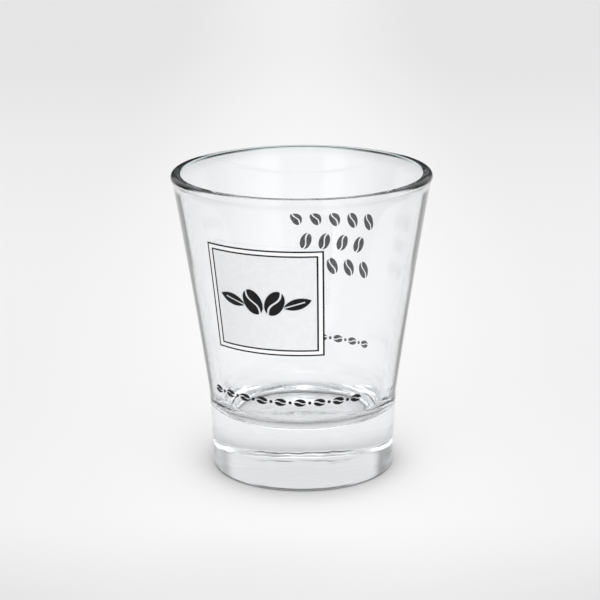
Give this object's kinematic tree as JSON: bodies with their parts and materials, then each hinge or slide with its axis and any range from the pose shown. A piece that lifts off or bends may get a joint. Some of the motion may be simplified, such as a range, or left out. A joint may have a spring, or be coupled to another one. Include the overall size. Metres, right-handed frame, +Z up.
{
  "type": "coffee glass",
  "caption": "Small flared clear-glass tumbler for short milk coffees: heavy solid foot, rounded lip, bowl open at the top, and fired enamel prints of beans and a framed panel on the wall.",
  "frame": {"origin": "middle of the face the glass stands on", "axes": "+Z up along the axis of the glass; -Y is the front, with the printed panel a little to the -X side of it"},
  "size_m": [0.064, 0.064, 0.075],
  "materials": {
    "clear_glass": "clear pressed soda-lime glass, fire polished",
    "black_enamel": "fired screen-printed enamel, satin black",
    "white_enamel": "fired screen-printed enamel, satin white",
    "grey_enamel": "fired screen-printed enamel, satin pale grey"
  },
  "bodies": {
    "root": {"glass_body": "clear_glass", "outer_frame_line": "black_enamel", "white_border": "white_enamel", "inner_frame_line": "black_enamel", "grey_field": "grey_enamel", "bean_sprig": "black_enamel", "front_bean_row": "black_enamel", "back_bean_block": "black_enamel", "back_bean_row": "black_enamel"}
  },
  "joints": []
}
